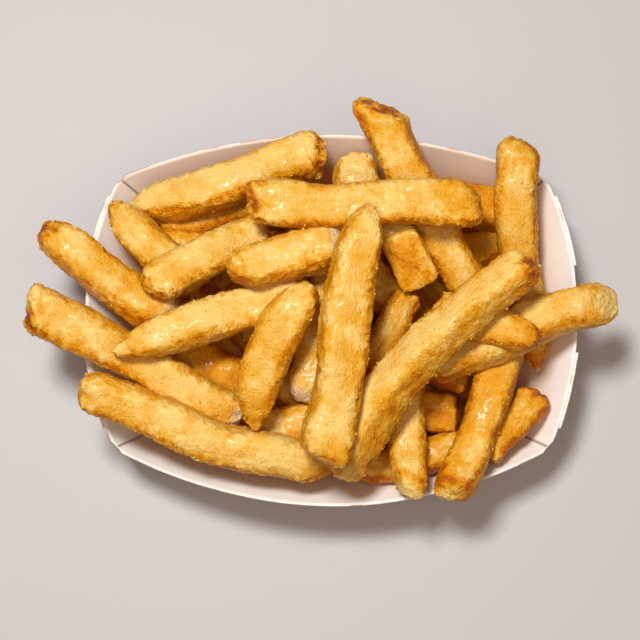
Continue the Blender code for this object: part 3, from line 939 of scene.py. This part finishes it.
def bed_rows(settings):
    """Fries half sunk in the core, so that it shows as fries from every side."""
    draw = random.Random(11)
    rows, middles = [], []
    for _ in range(BED_TRIES):
        if len(rows) == BED_FRIES:
            break
        middle = Vector([draw.uniform(*span) for span in BED_PLAN] + [0.0])
        angle = draw.uniform(0.0, math.pi)
        step = Vector((math.cos(angle), math.sin(angle), 0.0)) * draw.uniform(*BED_HALF)
        ends = [middle - step, middle + step]
        heights = [core_height(settings, end.x, end.y) for end in ends]
        if max(share for _, share in heights) > 1.0:
            continue
        if any((middle - other).length < BED_GAP for other in middles):
            continue
        for end, (height, _) in zip(ends, heights):
            end.z = height - BED_SINK
        middles.append(middle)
        # Low tones paint these fries darker, as painted shade below the heap
        rows.append(Fry(tuple(ends[0]), tuple(ends[1]), draw.uniform(*BED_THICK),
                        roll=draw.uniform(-15, 15), tone=draw.uniform(-1.4, -0.8),
                        looks="plain toasted"))
    return rows


def finish_piece(thing):
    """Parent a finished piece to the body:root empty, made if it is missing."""
    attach(thing, "root")
    return thing


class FRIES_OT_tray(Operator):
    """Fold the paper tray"""
    bl_idname = "fries.tray"
    bl_label = "Paper Tray"

    def execute(self, context):
        settings = context.scene.fries_tray
        start = plain_mesh("tray_start", [(0, 0, 0)])
        printed = outside_material(settings)
        tray = grown("paper_tray", start, tray_tree(settings), {"Material": printed})
        tray.data.materials.append(inside_material(settings))
        tray.data.materials.append(edge_material(settings))
        board = tray.modifiers.new("board", "SOLIDIFY")
        board.thickness = settings.paper
        board.offset = 1.0
        board.material_offset = 1
        board.material_offset_rim = 2
        board.use_quality_normals = True
        tray.data.shade_smooth()
        tray.data.set_sharp_from_angle(angle=math.radians(38))
        frozen(tray, "paper_tray")
        finish_piece(tray)
        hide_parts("tray")
        return {"FINISHED"}


class FRIES_OT_core(Operator):
    """Fill the tray's foot below the fries"""
    bl_idname = "fries.core"
    bl_label = "Core"

    def execute(self, context):
        settings = context.scene.fries_tray
        rings = [core_ring(settings, height) for height in (CORE_FOOT, CORE_RINGS[0][1])]
        for share, height in CORE_RINGS[1:]:
            rings.append([Vector((p.x * share, p.y * share, height)) for p in rings[1]])
        bm = bmesh.new()
        loops = [[bm.verts.new(p * MM) for p in ring] for ring in rings]
        bm.faces.new(loops[0][::-1])
        for lower, upper in zip(loops, loops[1:]):
            for k in range(CORE_ROUNDS):
                n = (k + 1) % CORE_ROUNDS
                bm.faces.new((lower[k], lower[n], upper[n], upper[k]))
        top = bm.verts.new((0.0, 0.0, CORE_TOP * MM))
        for k in range(CORE_ROUNDS):
            bm.faces.new((loops[-1][k], loops[-1][(k + 1) % CORE_ROUNDS], top))
        bmesh.ops.recalc_face_normals(bm, faces=bm.faces)
        mesh = closed(bm, "fry_core")
        mesh.materials.append(core_material(context.scene.fries_food))
        mesh.shade_smooth()
        core = linked("fry_core", mesh)
        finish_piece(core)
        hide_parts("fries")
        return {"FINISHED"}


class FRIES_OT_heap(Operator):
    """Heap the battered fries"""
    bl_idname = "fries.heap"
    bl_label = "Heap of Fries"

    def execute(self, context):
        food, tray = context.scene.fries_food, context.scene.fries_tray
        tree = fry_tree(food)
        batter = fried_material(food)
        spacing = food.spacing / MM
        sides = food.sides
        coarse = 1.0
        layers = dict(HEAP)
        layers["fries_bed"] = bed_rows(tray)
        index = 0
        for name, rows in layers.items():
            rough = coarse * (1.6 if name == "fries_bed" else 1.0)
            start = spine_mesh(name, rows, spacing * rough, index)
            index += len(rows)
            made = grown(name, start, tree, {"Sides": int(sides / rough), "Material": batter,
                                             "Seed": float(food.seed)})
            keep_in_tray(made, tray)
            made.data.shade_smooth()
            finish_piece(made)
        return {"FINISHED"}


class FRIES_OT_crumbs(Operator):
    """Scatter crumbs of batter over the fries"""
    bl_idname = "fries.crumbs"
    bl_label = "Crumbs"

    def execute(self, context):
        food = context.scene.fries_food
        tree = crumb_tree()
        crumb = fried_material(food)
        crumb.name = "crumb_batter"
        bm = bmesh.new()
        for name in ("fries_back", "fries_front", "fries_top"):
            bm.from_mesh(bpy.data.objects[name].data)
        whole = closed(bm, "crumb_ground")
        area = sum(face.area for face in whole.polygons)
        crumbs = grown("batter_crumbs", whole, tree, {"Density": food.crumbs / area / 0.4,
                       "Seed": food.seed, "Material": crumb})
        crumbs.data.shade_smooth()
        finish_piece(crumbs)
        return {"FINISHED"}


class FRIES_OT_studio(Operator):
    """Lay the floor and set the lights and the camera"""
    bl_idname = "fries.studio"
    bl_label = "Studio"

    def execute(self, context):
        settings = context.scene.fries_studio
        bm = bmesh.new()
        bmesh.ops.create_grid(bm, x_segments=1, y_segments=1, size=3.0)
        mesh = closed(bm, "studio_floor")
        mesh.materials.append(floor_material(settings.ground))
        floor = linked("studio_floor", mesh)
        floor.location.z = -0.0002
        self.light("key_light", (-0.16, 0.18, 1.00), settings.key_power, 0.17, (1.0, 0.97, 0.93))
        self.light("fill_light", (0.05, -0.35, 1.05), settings.fill_power, 0.7, (1.0, 0.88, 0.74))
        world = bpy.data.worlds.new("studio_air")
        world.use_nodes = True
        air = world.node_tree.nodes["Background"]
        air.inputs["Color"].default_value = (1.0, 0.58, 0.30, 1.0)
        air.inputs["Strength"].default_value = settings.ambient
        context.scene.world = world

        lens = bpy.data.cameras.new("photo_camera")
        lens.sensor_width = 36.0
        lens.lens = settings.focal_length
        lens.clip_start = 0.01
        camera = linked("photo_camera", lens)
        away = Vector((0.0, -math.sin(settings.tilt), math.cos(settings.tilt)))
        camera.location = HEAP_MIDDLE + away * settings.distance
        camera.rotation_euler = (settings.tilt, 0.0, 0.0)
        context.scene.camera = camera
        context.scene.view_settings.view_transform = "Standard"
        return {"FINISHED"}

    @staticmethod
    def light(name, place, power, size, colour):
        """A square soft light that faces the fries."""
        lamp = bpy.data.lights.new(name, "AREA")
        lamp.color = colour
        lamp.energy = power
        lamp.size = size
        thing = linked(name, lamp)
        thing.location = place
        way = LIGHTS_AIM - Vector(place)
        thing.rotation_euler = way.to_track_quat("-Z", "Y").to_euler()


class FRIES_PT_panel(Panel):
    """Lists the pieces and their settings"""
    bl_label = "Fries in a Paper Tray"
    bl_space_type = "VIEW_3D"
    bl_region_type = "UI"
    bl_category = "Fries"

    def draw(self, context):
        for group, operators in STEPS:
            box = self.layout.box()
            settings = getattr(context.scene, group)
            for label in settings.bl_rna.properties.keys():
                if label not in ("rna_type", "name"):
                    box.prop(settings, label)
            for operator in operators:
                box.operator(operator.bl_idname)


STEPS = (
    ("fries_tray", (FRIES_OT_tray,)),
    ("fries_food", (FRIES_OT_core, FRIES_OT_heap, FRIES_OT_crumbs)),
    ("fries_studio", (FRIES_OT_studio,)),
)
GROUPS = {"fries_tray": TraySettings, "fries_food": FrySettings, "fries_studio": StudioSettings}


def register():
    for name, group in GROUPS.items():
        bpy.utils.register_class(group)
        setattr(bpy.types.Scene, name, PointerProperty(type=group))
    for _, operators in STEPS:
        for operator in operators:
            bpy.utils.register_class(operator)
    bpy.utils.register_class(FRIES_PT_panel)


def unregister():
    bpy.utils.unregister_class(FRIES_PT_panel)
    for _, operators in STEPS:
        for operator in operators:
            bpy.utils.unregister_class(operator)
    for name, group in GROUPS.items():
        delattr(bpy.types.Scene, name)
        bpy.utils.unregister_class(group)


def main():
    register()
    for operator in ("studio", "tray", "core", "heap", "crumbs"):
        getattr(bpy.ops.fries, operator)()


if __name__ == "__main__":
    main()
